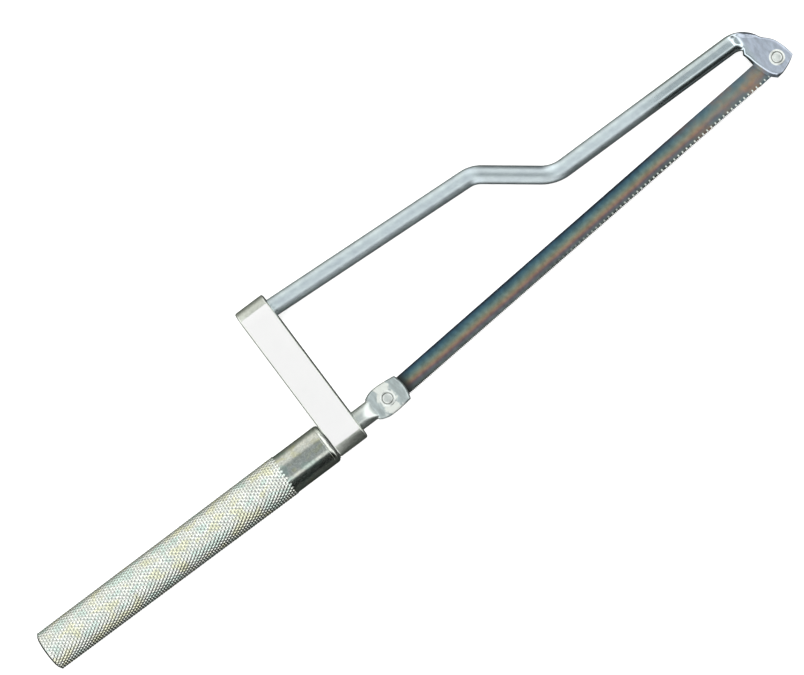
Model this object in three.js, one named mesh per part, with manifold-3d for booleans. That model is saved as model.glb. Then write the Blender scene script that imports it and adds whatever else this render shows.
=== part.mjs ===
// A 12 in hacksaw with a straight knurled handle, a crossbar and a bent round frame rod.
//
// The saw lies flat on its side. X runs along the handle towards the nose of the saw, Y runs from
// the handle up to the frame rod, and Z stands out of the plane of the saw. Until the last lines,
// the handle's axis is the X axis. The finished group is then moved so that its origin is the
// bottom centre of the whole saw.
//
// How it works: the handle is a long nut. Turning it draws the tension stud back through the
// crossbar. The stud and the frame rod end in flattened paddles, each with a stub pin that holds
// one end of the blade. All lengths are in millimetres.

import * as THREE from 'three';
import { mergeVertices } from 'three/addons/utils/BufferGeometryUtils.js';
import Module from 'manifold-3d';

// ---------------------------------------------------------------- driving dimensions

const rodRadius = 5.55;               // 7/16 in steel rod, for the frame and for the stud
const studFrontRadius = 6.2;          // the stud is thicker in front of the crossbar
const runningGap = 0.35;              // round a rod in its hole
const restingGap = 0.05;              // between faces that bear on each other

const barRearX = 2.5;                 // crossbar, a flat bar with round ends
const barFrontX = 22.4;
const barHalfDepth = 10.3;
const barLowCentreY = -0.7;           // centres of its two round ends
const barHighCentreY = 81.8;
const barEdgeRound = 1.0;

const labelThickness = 0.15;
const labelSideMargin = 1.1;
const labelLowWrap = 18.7;            // degrees that the label laps round each end of the bar
const labelHighWrap = 24;

const rodSocketX = 5.5;               // bottom of the blind hole that holds the frame rod
const rodEntryY = 82.3;               // height of the rod where it leaves the bar
const rodDrop = 3.28;                 // degrees that it slopes down towards the nose
const rearBendX = 161.8;              // corners of the rod's centre line, before rounding
const middleBendX = 199.5;
const middleBendY = 45.65;
const frontBendX = 334.7;
const frontBendY = 44.8;
const paddleLean = 69;                // degrees that the front paddle points down from X
const bendRadii = [17, 23, 13.5];
const rodTailInPaddle = 15;           // how far the rod runs on past the front corner

const paddleThickness = 5;
const paddleEdgeRound = 0.8;
const shoulderRun = 2.4;              // plan length of the slope from round rod to flat paddle
const rearPinX = 44.6;
const frontPinX = 343.6;
const frontPinY = 22.85;

const pinStubRadius = 1.7;            // hooks into the blade
const pinStubLength = 3.2;
const pinShankRadius = 2.5;           // sits in the paddle
const pinHeadRadius = 3.35;           // staked over on the front face
const pinHeadThickness = 1.1;
const pinHeadProud = 0.25;
const pinChamfer = 0.4;

const bladeWidth = 12.5;
const bladeThickness = 0.65;
const bladeHoleRadius = 2.1;
const bladeEndRadius = 6.0;
const pinLean = 0.33;                 // each pin is drawn this far off the middle of its hole
const toothPitch = 25.4 / 24;
const toothDepth = 0.6;
const toothStart = 6;                 // along the blade from its rear hole
const toothEnd = 280;

const neckRadius = 12.7;              // handle tube, 1 in outside
const tubeBoreRadius = 10.7;
const knurlFrontRadius = 13.25;
const knurlRearRadius = 12.75;
const knurlFrontX = -30;
const tubeFrontX = -0.65;
const tubeRearX = -201.1;
const buttRound = 2.6;

const flangeFrontX = 1.9;             // flange of the threaded bush in the handle's mouth
const flangeRearX = -0.6;
const flangeEdgeRound = 1.1;
const bushRadius = 10.4;
const bushRearX = -25;
const threadRadius = 5.2;             // threads are plain: the stud's, and the bush's bore
const bushBoreRadius = 5.5;
const bushMouthStep = 0.6;            // the bore is this much wider in front of its thread

const handleTravel = 10.9;            // between bush and stop nut: six turns of the handle
const stopNutAcrossFlats = 15.9;
const stopNutThickness = 6;
const studTailPastNut = 2;

const washerOuterRadius = 11.4;
const washerInnerRadius = 6.0;

const plugDomeX = -202;               // end plug
const plugRimX = -200.9;
const plugInnerX = -190;

const springPinRadius = 2;            // rolled spring pins, driven in from the back
const springPinWall = 0.5;
const springPinSlit = 0.8;
const pinHoleRadius = 2.2;
const rodPinX = 13.5;
const rodPinTopZ = 4.5;
const keyPinX = 12.4;
const keyPinTopZ = -3.8;
const keySlotBottomZ = -3.3;
const keySlotHalfWidth = 2.4;
const keySlotTravel = 8;

const roundSides = 28;
const smallSides = 20;

// ---------------------------------------------------------------- materials

function steel(colour, roughness, metalness) {
  return new THREE.MeshStandardMaterial({ color: colour, roughness, metalness });
}

const brightPlate = steel(0xc9cac6, 0.28, 1.0);
const zincPlate = steel(0xa9adaf, 0.38, 1.0);
const forgedPlate = steel(0xa7adba, 0.55, 0.9);
const knurledPlate = steel(0xd8dad6, 0.32, 1.0);
const temperedSteel = steel(0x56656b, 0.42, 0.9);
const plainSteel = steel(0x8e9092, 0.45, 1.0);
const whiteVinyl = steel(0xf1f1ef, 0.5, 0.0);

// ---------------------------------------------------------------- solids

const manifold = await Module();
manifold.setup();

const degrees = THREE.MathUtils.degToRad;
const xAxis = new THREE.Vector3(1, 0, 0);
const yAxis = new THREE.Vector3(0, 1, 0);
const zAxis = new THREE.Vector3(0, 0, 1);

// Turns what stands along Y, such as a lathe's shape, so that it lies along X.
const alongX = new THREE.Matrix4().makeRotationZ(-Math.PI / 2);
// Turns what stands along Y so that it stands along Z.
const alongZ = new THREE.Matrix4().makeRotationX(Math.PI / 2);
// Takes a shape drawn as (Y, Z) and extruded, so that it is extruded along X.
const sectionAlongX = new THREE.Matrix4().makeBasis(yAxis, zAxis, xAxis);

// One closed skin: shared corners joined, empty triangles dropped and all faces pointing out.
function closedSkin(source) {
  const bare = source.clone();
  bare.deleteAttribute('normal');
  bare.deleteAttribute('uv');
  const joined = mergeVertices(bare, 1e-4);
  const position = joined.getAttribute('position');
  const corners = joined.index.array;
  const kept = [];
  const a = new THREE.Vector3();
  const b = new THREE.Vector3();
  const c = new THREE.Vector3();
  let volume = 0;
  for (let i = 0; i < corners.length; i += 3) {
    const [p, q, r] = [corners[i], corners[i + 1], corners[i + 2]];
    if (p === q || q === r || r === p) continue;
    kept.push(p, q, r);
    a.fromBufferAttribute(position, p);
    b.fromBufferAttribute(position, q);
    c.fromBufferAttribute(position, r);
    volume += a.dot(b.cross(c));
  }
  if (volume < 0) kept.reverse();
  joined.setIndex(kept);
  return joined;
}

function toSolid(geometry) {
  const skin = closedSkin(geometry);
  const vertProperties = new Float32Array(skin.getAttribute('position').array);
  const triVerts = new Uint32Array(skin.index.array);
  return new manifold.Manifold(new manifold.Mesh({ numProp: 3, vertProperties, triVerts }));
}

function toGeometry(solid) {
  const mesh = solid.getMesh();
  const geometry = new THREE.BufferGeometry();
  geometry.setAttribute('position', new THREE.BufferAttribute(mesh.vertProperties, 3));
  geometry.setIndex(new THREE.BufferAttribute(mesh.triVerts, 1));
  geometry.computeVertexNormals();
  return geometry;
}

function piece(name, shape, material) {
  const geometry = shape instanceof THREE.BufferGeometry ? closedSkin(shape) : toGeometry(shape);
  const mesh = new THREE.Mesh(geometry, material);
  mesh.name = name;
  return mesh;
}

// A solid turned about the X axis. The profile is a list of [x, radius].
function turned(profile, sides) {
  const points = profile.map(([x, radius]) => new THREE.Vector2(radius, x));
  return new THREE.LatheGeometry(points, sides).applyMatrix4(alongX);
}

// Points of a rounded corner on a turned profile, about (x, radius), from one angle to another.
function corner(x, radius, round, from, to) {
  const steps = 4;
  const points = [];
  for (let i = 0; i <= steps; i += 1) {
    const angle = degrees(from + (to - from) * i / steps);
    points.push([x + round * Math.cos(angle), radius + round * Math.sin(angle)]);
  }
  return points;
}

function rodAlongX(radius, fromX, toX, y, sides = roundSides) {
  const length = toX - fromX;
  const rod = new THREE.CylinderGeometry(radius, radius, length, sides).applyMatrix4(alongX);
  return rod.translate(fromX + length / 2, y, 0);
}

function rodAlongZ(radius, fromZ, toZ, x, y, sides = smallSides) {
  const length = toZ - fromZ;
  const rod = new THREE.CylinderGeometry(radius, radius, length, sides).applyMatrix4(alongZ);
  return rod.translate(x, y, fromZ + length / 2);
}

// ---------------------------------------------------------------- the frame rod's centre line

const rodSocketY = rodEntryY + (barFrontX - rodSocketX) * Math.tan(degrees(rodDrop));
const rearBendY = rodEntryY - (rearBendX - barFrontX) * Math.tan(degrees(rodDrop));
const paddleDown = new THREE.Vector3(
  Math.cos(degrees(paddleLean)), -Math.sin(degrees(paddleLean)), 0);

// Straight runs joined by arcs. Each straight run is one step long and each arc several, so the
// rings of the swept rod stand close together only where it bends.
class RodLine extends THREE.Curve {
  constructor(corners, radii, arcSteps) {
    super();
    this.stations = [corners[0]];
    radii.forEach((radius, i) => {
      this.stations.push(...RodLine.arc(corners[i], corners[i + 1], corners[i + 2], radius, arcSteps));
    });
    this.stations.push(corners[corners.length - 1]);
  }

  static arc(before, at, after, radius, steps) {
    const into = at.clone().sub(before).normalize();
    const out = after.clone().sub(at).normalize();
    const turn = into.angleTo(out);
    const side = Math.sign(into.x * out.y - into.y * out.x);
    const start = at.clone().addScaledVector(into, -radius * Math.tan(turn / 2));
    const inward = new THREE.Vector3(-into.y, into.x, 0).multiplyScalar(side);
    const centre = start.clone().addScaledVector(inward, radius);
    const points = [];
    for (let i = 0; i <= steps; i += 1) {
      const spoke = inward.clone().multiplyScalar(-radius);
      points.push(spoke.applyAxisAngle(zAxis, side * turn * i / steps).add(centre));
    }
    return points;
  }

  get steps() {
    return this.stations.length - 1;
  }

  getPoint(t) {
    const place = Math.min(Math.max(t, 0), 1) * this.steps;
    const i = Math.min(Math.floor(place), this.steps - 1);
    return this.stations[i].clone().lerp(this.stations[i + 1], place - i);
  }

  // The tangent at a station lies midway between its two neighbouring runs.
  getTangent(t) {
    const i = Math.round(t * this.steps);
    const before = this.stations[Math.max(i - 1, 0)];
    const after = this.stations[Math.min(i + 1, this.steps)];
    return after.clone().sub(before).normalize();
  }

  // Stations are spaced by run, not by length.
  getUtoTmapping(u) {
    return u;
  }
}

function frameRodLine() {
  const corners = [
    new THREE.Vector3(rodSocketX + runningGap, rodSocketY, 0),
    new THREE.Vector3(rearBendX, rearBendY, 0),
    new THREE.Vector3(middleBendX, middleBendY, 0),
    new THREE.Vector3(frontBendX, frontBendY, 0),
    new THREE.Vector3(frontBendX, frontBendY, 0).addScaledVector(paddleDown, rodTailInPaddle),
  ];
  return new RodLine(corners, bendRadii, 6);
}

// ---------------------------------------------------------------- flattened paddles

// A smooth run of outline through points given as [x, y].
function curveThrough(shape, points) {
  shape.splineThru(points.map(([x, y]) => new THREE.Vector2(x, y)));
}

function frontPaddleOutline() {
  const shape = new THREE.Shape();
  shape.moveTo(341, 39.6);
  curveThrough(shape, [[344.6, 37.2], [348.9, 32.2], [351.4, 25.6], [352.7, 18.7]]);
  curveThrough(shape, [[349, 16.4], [343, 13.9], [337.4, 12.6]]);
  curveThrough(shape, [[333.5, 17], [330.5, 25], [329.6, 33]]);
  shape.lineTo(328.3, 36);
  shape.lineTo(330.2, 38.4);
  shape.lineTo(334, 41.5);
  shape.closePath();
  return shape;
}

function studPaddleOutline() {
  const shape = new THREE.Shape();
  shape.moveTo(33.2, -6.6);
  curveThrough(shape, [[34.6, -8.2], [38.2, -9.2], [43, -9.6], [49, -9.2], [55.4, -8.4]]);
  curveThrough(shape, [[56.7, -4], [57.1, 0], [56.7, 4], [55.4, 8.4]]);
  curveThrough(shape, [[49, 9.2], [43, 9.6], [38.2, 9.2], [34.6, 8.2], [33.2, 6.6]]);
  shape.closePath();
  return shape;
}

// The plan of the flat face where it runs back into the round rod: a blunt V at the front bend,
// and a shallow bow across the stud.
function frontFlatOutline() {
  const shape = new THREE.Shape();
  shape.moveTo(331.5, 42.4);
  curveThrough(shape, [[336.5, 40.6], [341, 37.6], [344.5, 33]]);
  shape.lineTo(362, 33);
  shape.lineTo(362, 4);
  shape.lineTo(322, 4);
  shape.lineTo(322, 30);
  shape.lineTo(329, 37);
  shape.closePath();
  return shape;
}

function studFlatOutline() {
  const shape = new THREE.Shape();
  shape.moveTo(36, -14);
  shape.lineTo(36, 14);
  shape.lineTo(62, 14);
  shape.lineTo(62, -14);
  shape.closePath();
  return shape;
}

function plate(outline) {
  const flat = paddleThickness - 2 * paddleEdgeRound;
  const geometry = new THREE.ExtrudeGeometry(outline, {
    depth: flat,
    curveSegments: 5,
    bevelThickness: paddleEdgeRound,
    bevelSize: paddleEdgeRound,
    bevelOffset: -paddleEdgeRound,
    bevelSegments: 2,
  });
  return toSolid(geometry.translate(0, 0, -flat / 2));
}

// What the forging die presses away above the paddle: it widens upwards, which leaves the slope.
function pressedAway(outline, side) {
  const rise = rodRadius - paddleThickness / 2 + 0.4;
  const geometry = new THREE.ExtrudeGeometry(outline, {
    depth: 1,
    curveSegments: 5,
    bevelThickness: rise,
    bevelSize: shoulderRun,
    bevelSegments: 1,
  });
  geometry.translate(0, 0, rise + paddleThickness / 2);
  if (side < 0) geometry.applyMatrix4(new THREE.Matrix4().makeRotationX(Math.PI)).scale(1, -1, 1);
  return toSolid(geometry);
}

// The hole for a stub pin, with a counterbore for its staked head on the front face.
function pinSeat(x, y) {
  const half = paddleThickness / 2;
  const hole = toSolid(rodAlongZ(pinShankRadius + runningGap, -half - 1, half + 1, x, y));
  const headZ = half + pinHeadProud - pinHeadThickness - restingGap;
  const head = toSolid(rodAlongZ(pinHeadRadius + runningGap, headZ, half + 1, x, y));
  return hole.add(head);
}

// ---------------------------------------------------------------- frame and crossbar

function crossbarSection() {
  const shape = new THREE.Shape();
  shape.absarc(barHighCentreY, 0, barHalfDepth, -Math.PI / 2, Math.PI / 2, false);
  shape.absarc(barLowCentreY, 0, barHalfDepth, Math.PI / 2, 1.5 * Math.PI, false);
  shape.closePath();
  return shape;
}

function rodSocket() {
  const length = 24;
  const hole = rodAlongX(rodRadius + runningGap, 0, length, 0);
  hole.rotateZ(-degrees(rodDrop));
  return toSolid(hole.translate(rodSocketX, rodSocketY, 0));
}

function crossbar() {
  const depth = barFrontX - barRearX - 2 * barEdgeRound;
  const blank = new THREE.ExtrudeGeometry(crossbarSection(), {
    depth,
    curveSegments: 14,
    bevelThickness: barEdgeRound,
    bevelSize: barEdgeRound,
    bevelOffset: -barEdgeRound,
    bevelSegments: 3,
  });
  blank.applyMatrix4(sectionAlongX).translate(barRearX + barEdgeRound, 0, 0);
  const studBore = toSolid(rodAlongX(rodRadius + runningGap, barRearX - 1, barFrontX + 1, 0));
  const back = -barHalfDepth - 1;
  const rodPinHole = toSolid(rodAlongZ(pinHoleRadius, back, rodPinTopZ + 1, rodPinX, rodPinY()));
  const keyPinHole = toSolid(rodAlongZ(pinHoleRadius, back, 0, keyPinX, 0));
  return toSolid(blank).subtract(studBore).subtract(rodSocket()).subtract(rodPinHole)
    .subtract(keyPinHole);
}

// The label is one thin sheet over the front flat, lapping a little way round both ends.
function crossbarLabel() {
  const inner = barHalfDepth + restingGap;
  const outer = inner + labelThickness;
  const lowEnd = Math.PI / 2 + degrees(labelLowWrap);
  const highEnd = Math.PI / 2 - degrees(labelHighWrap);
  const shape = new THREE.Shape();
  shape.absarc(barLowCentreY, 0, outer, lowEnd, Math.PI / 2, true);
  shape.absarc(barHighCentreY, 0, outer, Math.PI / 2, highEnd, true);
  shape.absarc(barHighCentreY, 0, inner, highEnd, Math.PI / 2, false);
  shape.absarc(barLowCentreY, 0, inner, Math.PI / 2, lowEnd, false);
  shape.closePath();
  const depth = barFrontX - barRearX - 2 * labelSideMargin;
  const sheet = new THREE.ExtrudeGeometry(shape, { depth, curveSegments: 6, bevelEnabled: false });
  return sheet.applyMatrix4(sectionAlongX).translate(barRearX + labelSideMargin, 0, 0);
}

// Height of the frame rod's axis where its pin crosses it.
function rodPinY() {
  return rodEntryY + (barFrontX - rodPinX) * Math.tan(degrees(rodDrop));
}

function frameRod() {
  const line = frameRodLine();
  const section = new THREE.Shape();
  section.absarc(0, 0, rodRadius, 0, 2 * Math.PI, false);
  const swept = new THREE.ExtrudeGeometry(section, {
    steps: line.steps,
    curveSegments: roundSides / 2,
    extrudePath: line,
  });
  const crossHole = toSolid(rodAlongZ(pinHoleRadius, -rodRadius - 1, rodRadius + 1, rodPinX, rodPinY()));
  return toSolid(swept)
    .subtract(pressedAway(frontFlatOutline(), 1))
    .subtract(pressedAway(frontFlatOutline(), -1))
    .subtract(crossHole)
    .add(plate(frontPaddleOutline()))
    .subtract(pinSeat(frontPinX, frontPinY));
}

// ---------------------------------------------------------------- tension stud

const bushRearStopX = bushRearX - handleTravel - 0.3;
const studTailX = bushRearStopX - stopNutThickness - studTailPastNut;
const threadStartX = -1;

function tensionStud() {
  const shank = toSolid(rodAlongX(rodRadius, threadStartX, rearPinX - 4, 0));
  const front = toSolid(rodAlongX(studFrontRadius, barFrontX + restingGap, rearPinX - 4, 0));
  const tail = toSolid(rodAlongX(threadRadius, studTailX, threadStartX + 0.5, 0));
  const slotLength = keySlotTravel + 2 * keySlotHalfWidth;
  const slotDepth = rodRadius + 1 + keySlotBottomZ;
  const slot = new THREE.BoxGeometry(slotLength, 2 * keySlotHalfWidth, slotDepth);
  slot.translate(keyPinX + keySlotHalfWidth - slotLength / 2, 0, keySlotBottomZ - slotDepth / 2);
  return shank.add(front)
    .add(tail)
    .subtract(toSolid(slot))
    .subtract(pressedAway(studFlatOutline(), 1))
    .subtract(pressedAway(studFlatOutline(), -1))
    .add(plate(studPaddleOutline()))
    .subtract(pinSeat(rearPinX, 0));
}

// A hexagonal nut on the very end of the stud. It stops the handle from coming off.
function stopNut() {
  const cornerRadius = stopNutAcrossFlats / 2 / Math.cos(Math.PI / 6);
  const hexagon = rodAlongX(cornerRadius, 0, stopNutThickness, 0, 6);
  const hole = rodAlongX(threadRadius + restingGap * 2, -1, stopNutThickness + 1, 0);
  const nut = toSolid(hexagon).subtract(toSolid(hole));
  return nut.translate([bushRearStopX - stopNutThickness, 0, 0]);
}

// ---------------------------------------------------------------- pins

// A staked stub pin: a head on the front face, a shank in the paddle and a stub for the blade.
function stubPin() {
  const half = paddleThickness / 2;
  const top = half + pinHeadProud;
  const points = [
    [-half - pinStubLength, 0],
    [-half - pinStubLength, pinStubRadius - pinChamfer],
    [-half - pinStubLength + pinChamfer, pinStubRadius],
    [-half + pinChamfer, pinStubRadius],
    [-half + pinChamfer, pinShankRadius],
    [top - pinHeadThickness, pinShankRadius],
    [top - pinHeadThickness, pinHeadRadius],
    [top - pinChamfer, pinHeadRadius],
    [top, pinHeadRadius - pinChamfer],
    [top, 0],
  ];
  const profile = points.map(([z, radius]) => new THREE.Vector2(radius, z));
  return new THREE.LatheGeometry(profile, smallSides).applyMatrix4(alongZ);
}

// A rolled spring pin standing along Z, with its slit to the handle side.
function springPin(fromZ, toZ) {
  const halfSlit = Math.asin(springPinSlit / 2 / springPinRadius);
  const inner = springPinRadius - springPinWall;
  const shape = new THREE.Shape();
  shape.absarc(0, 0, springPinRadius, -Math.PI + halfSlit, Math.PI - halfSlit, false);
  shape.absarc(0, 0, inner, Math.PI - halfSlit, -Math.PI + halfSlit, true);
  shape.closePath();
  const pin = new THREE.ExtrudeGeometry(shape, {
    depth: toZ - fromZ,
    curveSegments: smallSides / 2,
    bevelEnabled: false,
  });
  return pin.translate(0, 0, fromZ);
}

// ---------------------------------------------------------------- blade

const bladeSlope = Math.atan2(frontPinY, frontPinX - rearPinX);
const holeSpan = Math.hypot(frontPinX - rearPinX, frontPinY) - 2 * pinLean;

// Drawn along the blade from its rear hole. The teeth cut on the push stroke, towards the nose.
function bladeOutline() {
  const edge = bladeWidth / 2;
  const root = -edge + toothDepth;
  const shape = new THREE.Shape();
  shape.absarc(0, 0, bladeEndRadius, Math.PI / 2, 1.5 * Math.PI, false);
  shape.lineTo(toothStart, root);
  const teeth = Math.floor((toothEnd - toothStart) / toothPitch);
  for (let i = 0; i < teeth; i += 1) {
    const start = toothStart + i * toothPitch;
    shape.lineTo(start + 0.9 * toothPitch, -edge);
    shape.lineTo(start + toothPitch, root);
  }
  shape.lineTo(toothEnd + 2, -edge);
  shape.lineTo(holeSpan, -edge);
  shape.absarc(holeSpan, 0, bladeEndRadius, -Math.PI / 2, Math.PI / 2, false);
  shape.lineTo(holeSpan, edge);
  shape.lineTo(0, edge);
  shape.closePath();
  [0, holeSpan].forEach((u) => {
    const hole = new THREE.Path();
    hole.absarc(u, 0, bladeHoleRadius, 0, 2 * Math.PI, true);
    shape.holes.push(hole);
  });
  return shape;
}

function blade() {
  return new THREE.ExtrudeGeometry(bladeOutline(), {
    depth: bladeThickness,
    curveSegments: 12,
    bevelEnabled: false,
  });
}

// ---------------------------------------------------------------- handle

function gripTube() {
  const buttCentreX = tubeRearX + buttRound;
  const buttCentreRadius = knurlRearRadius - buttRound;
  const outside = corner(buttCentreX, buttCentreRadius, buttRound, 168, 90);
  const profile = [
    [tubeFrontX, tubeBoreRadius],
    [buttCentreX - buttRound * Math.cos(degrees(12)), tubeBoreRadius],
    ...outside,
    [knurlFrontX, knurlFrontRadius],
    [knurlFrontX + 1.2, neckRadius],
    [tubeFrontX, neckRadius],
    [tubeFrontX, tubeBoreRadius],
  ];
  return turned(profile, roundSides + 8);
}

// The threaded bush: its flange caps the mouth of the tube and bears on the thrust washer.
function gripNut() {
  const roundX = flangeFrontX - flangeEdgeRound;
  const round = corner(roundX, neckRadius - flangeEdgeRound, flangeEdgeRound, 90, 0);
  const mouthRadius = bushBoreRadius + bushMouthStep;
  const mouthEndX = threadStartX - 1;
  const profile = [
    [bushRearX, bushBoreRadius],
    [bushRearX, bushRadius],
    [flangeRearX, bushRadius],
    [flangeRearX, neckRadius],
    ...round,
    [flangeFrontX, mouthRadius],
    [mouthEndX, mouthRadius],
    [mouthEndX - bushMouthStep, bushBoreRadius],
    [bushRearX, bushBoreRadius],
  ];
  return turned(profile, roundSides);
}

function thrustWasher() {
  const front = barRearX - restingGap;
  const rear = flangeFrontX + restingGap;
  const profile = [
    [rear, washerInnerRadius],
    [rear, washerOuterRadius],
    [front, washerOuterRadius],
    [front, washerInnerRadius],
    [rear, washerInnerRadius],
  ];
  return turned(profile, roundSides);
}

// A pressed-in plug with a slightly domed face.
function gripEndPlug() {
  const rimRadius = tubeBoreRadius - 0.3;
  const rise = plugRimX - plugDomeX;
  const domeSteps = 5;
  const profile = [];
  for (let i = 0; i <= domeSteps; i += 1) {
    const share = i / domeSteps;
    profile.push([plugDomeX + rise * share * share, rimRadius * share]);
  }
  profile.push([plugInnerX, rimRadius], [plugInnerX, 0]);
  return turned(profile, roundSides);
}

// ---------------------------------------------------------------- the whole saw

function hacksaw() {
  const saw = new THREE.Group();

  saw.add(piece('crossbar', crossbar(), zincPlate));
  saw.add(piece('crossbar_label', crossbarLabel(), whiteVinyl));
  saw.add(piece('frame_rod', frameRod(), zincPlate));

  const rodPin = piece('frame_rod_pin', springPin(-barHalfDepth, rodPinTopZ), plainSteel);
  rodPin.position.set(rodPinX, rodPinY(), 0);
  saw.add(rodPin);

  const keyPin = piece('stud_key_pin', springPin(-barHalfDepth, keyPinTopZ), plainSteel);
  keyPin.position.set(keyPinX, 0, 0);
  saw.add(keyPin);

  saw.add(piece('tension_stud', tensionStud(), forgedPlate));
  saw.add(piece('stud_stop_nut', stopNut(), plainSteel));

  const rearPin = piece('rear_blade_pin', stubPin(), forgedPlate);
  rearPin.position.set(rearPinX, 0, 0);
  saw.add(rearPin);

  const frontPin = piece('front_blade_pin', stubPin(), forgedPlate);
  frontPin.position.set(frontPinX, frontPinY, 0);
  saw.add(frontPin);

  const sawBlade = piece('blade', blade(), temperedSteel);
  const bladeTopZ = -paddleThickness / 2 - 0.1;
  sawBlade.rotation.z = bladeSlope;
  sawBlade.position.set(
    rearPinX + pinLean * Math.cos(bladeSlope),
    pinLean * Math.sin(bladeSlope),
    bladeTopZ - bladeThickness);
  saw.add(sawBlade);

  saw.add(piece('grip_tube', gripTube(), knurledPlate));
  saw.add(piece('grip_nut', gripNut(), brightPlate));
  saw.add(piece('thrust_washer', thrustWasher(), plainSteel));
  saw.add(piece('grip_end_plug', gripEndPlug(), brightPlate));

  // The origin goes to the bottom centre of the saw's box. The handle is the thickest part.
  saw.updateMatrixWorld(true);
  const box = new THREE.Box3().setFromObject(saw, true);
  const middle = box.getCenter(new THREE.Vector3());
  saw.position.set(-middle.x, -middle.y, -box.min.z);
  return saw;
}

export default hacksaw();
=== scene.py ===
"""Looks of the hacksaw: fine meshes, finishes, floor, light and camera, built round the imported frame.

Lengths are in millimetres in the saw's own axes, as the solids are drawn: X along the handle
towards the nose, Y from the handle up to the frame rod, Z out of the saw's plane, with the handle's
axis at Y = Z = 0. placed() turns them into metres in the row frame.
"""

import math

import bmesh
import bpy
import numpy as np
from mathutils import Matrix, Vector
from mathutils.geometry import delaunay_2d_cdt


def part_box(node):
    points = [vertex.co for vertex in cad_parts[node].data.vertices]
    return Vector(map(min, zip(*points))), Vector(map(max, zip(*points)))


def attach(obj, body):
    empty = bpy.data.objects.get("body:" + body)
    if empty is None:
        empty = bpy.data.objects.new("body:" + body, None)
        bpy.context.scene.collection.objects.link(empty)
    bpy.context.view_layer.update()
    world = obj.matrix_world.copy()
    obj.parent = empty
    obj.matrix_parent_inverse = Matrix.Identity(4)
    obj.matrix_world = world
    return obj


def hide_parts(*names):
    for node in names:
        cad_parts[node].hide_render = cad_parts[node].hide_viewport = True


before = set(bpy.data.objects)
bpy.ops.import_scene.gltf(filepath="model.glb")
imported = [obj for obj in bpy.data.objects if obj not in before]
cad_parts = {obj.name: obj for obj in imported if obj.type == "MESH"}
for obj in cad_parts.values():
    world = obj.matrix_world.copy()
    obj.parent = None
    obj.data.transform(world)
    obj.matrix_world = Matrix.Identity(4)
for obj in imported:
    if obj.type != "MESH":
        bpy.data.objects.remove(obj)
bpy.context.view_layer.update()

# ---------------- the saw's axes in the row frame

MM = 0.001
BAR_REAR_X = 2.5                      # x of the crossbar's rear face in the saw's axes
bar_low, bar_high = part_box("crossbar")
tube_low, tube_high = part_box("grip_tube")
ORIGIN = np.array([
    bar_low.x - BAR_REAR_X * MM,
    (tube_low.y + tube_high.y) / 2,
    (tube_low.z + tube_high.z) / 2,
])


def placed(points):
    """Row-frame metres of points given in the saw's millimetres."""
    return np.asarray(points, float) * MM + ORIGIN


def measured(point):
    """The saw's millimetres of a point given in row-frame metres."""
    return (np.asarray(point, float) - ORIGIN) / MM


def middle(node):
    low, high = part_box(node)
    return measured((low + high) / 2)


# ---------------- dimensions

ROD_RADIUS = 5.55
STUD_FRONT_RADIUS = 6.2               # the stud is thicker in front of the crossbar
PADDLE_DRAFT = 0.4                    # the paddles' walls lean in this much towards their tops
FORGED_FROM_X = 324                   # the rod is plain and round behind this
BAR_FRONT_X = measured(bar_high)[0]
BAR_HALF_DEPTH = 10.3
BAR_LOW_Y = -0.7
BAR_HIGH_Y = 81.8
BAR_EDGE_ROUND = 1.3
LABEL_THICKNESS = 0.16
LABEL_MARGIN = 0.9
LABEL_CORNER = 1.2

ROD_ENTRY_Y = 82.3
ROD_SOCKET_X = 5.9
ROD_DROP = math.radians(3.28)
REAR_BEND_X = 161.8
MIDDLE_BEND = (199.5, 45.65)
FRONT_BEND = (334.7, 44.8)
PADDLE_LEAN = math.radians(69)
BEND_RADII = (17.0, 23.0, 13.5)

PADDLE_HALF = 2.5
PADDLE_EDGE_ROUND = 0.9
REAR_PIN = middle("rear_blade_pin")[:2]
FRONT_PIN = middle("front_blade_pin")[:2]

BLADE_BACK = 5.8                      # from the line of its holes up to its back edge
BLADE_TIPS = -6.75                    # and down to the tips of the teeth
BLADE_THICKNESS = 0.65
BLADE_FACE_Z = -2.6
BLADE_HOLE_RADIUS = 2.1
BLADE_END_RADIUS = 6.0
PIN_LEAN = 0.33
TOOTH_PITCH = 25.4 / 24
TOOTH_DEPTH = 0.7
TOOTH_START = 6.0
TOOTH_END = 280.0
SET_WAVE = 6.35
SET_AMOUNT = 0.32

NECK_RADIUS = 12.7
TUBE_BORE = 10.7
TUBE_FRONT_X = -0.65
TUBE_REAR_X = -201.1
KNURL_FRONT_X = -30.0
KNURL_FRONT_RADIUS = 13.25
KNURL_REAR_RADIUS = 12.75
KNURL_DEPTH = 0.6
KNURL_STARTS = 33
KNURL_PITCH = 3.33
KNURL_FACETS = 8                      # grid steps across one diamond
BUTT_RUN = 1.2                        # the chamfer round the butt, along the handle
BUTT_DROP = 1.9                       # and in towards its axis

BLADE_SLOPE = math.atan2(FRONT_PIN[1] - REAR_PIN[1], FRONT_PIN[0] - REAR_PIN[0])
SHARP_DEGREES = 32                    # edges sharper than this stay crisp

VIEW_CENTRE = (72.4, 23.2, 0)
VIEW_WIDTH = 466.36                   # what the camera sees across, in the saw's plane
VIEW_HEIGHT = 1800                    # of the camera above that plane

# ---------------- mesh tools


def add_mesh(name, points, faces, sharp=SHARP_DEGREES):
    """A smooth-shaded mesh object, with edges sharper than so many degrees left crisp."""
    mesh = bpy.data.meshes.new(name)
    mesh.from_pydata([tuple(p) for p in placed(points)], [], [tuple(f) for f in faces])
    mesh.validate()
    mesh.update()
    mesh.shade_smooth()
    if sharp:
        mesh.set_sharp_from_angle(angle=math.radians(sharp))
    piece = bpy.data.objects.new(name, mesh)
    bpy.context.scene.collection.objects.link(piece)
    return piece


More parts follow.
